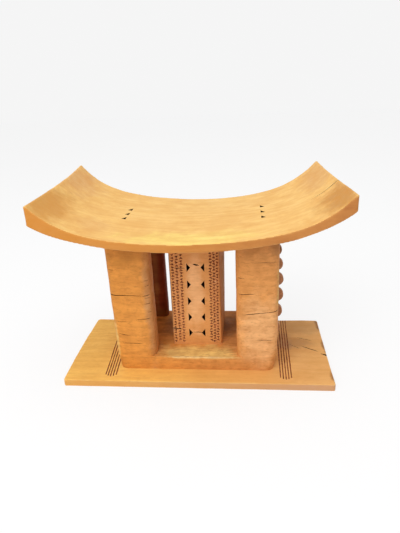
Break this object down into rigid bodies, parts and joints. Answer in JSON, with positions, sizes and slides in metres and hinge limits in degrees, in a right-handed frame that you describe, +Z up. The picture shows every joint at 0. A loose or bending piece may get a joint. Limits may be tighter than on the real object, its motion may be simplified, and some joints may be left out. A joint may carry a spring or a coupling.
{
  "type": "carved wooden ashanti stool",
  "caption": "Carved wooden Ashanti stool with an upswept rectangular seat, slab legs, a pierced chip-carved hollow column and scalloped side posts on a thin grooved base.",
  "frame": {"origin": "on the floor under the middle of the seat", "axes": "+X along the seat, to the right as seen from the front; +Y to the rear; +Z up"},
  "size_m": [0.606, 0.334, 0.4349],
  "materials": {
    "pale_wood": "satin",
    "golden_wood": "satin",
    "brown_wood": "satin"
  },
  "bodies": {
    "root": {"base_plate": "golden_wood", "plinth": "brown_wood", "front_left_leg": "golden_wood", "front_right_leg": "golden_wood", "rear_left_leg": "brown_wood", "rear_right_leg": "brown_wood", "left_scalloped_post": "brown_wood", "right_scalloped_post": "brown_wood", "centre_column": "golden_wood", "seat": "pale_wood"}
  },
  "joints": []
}
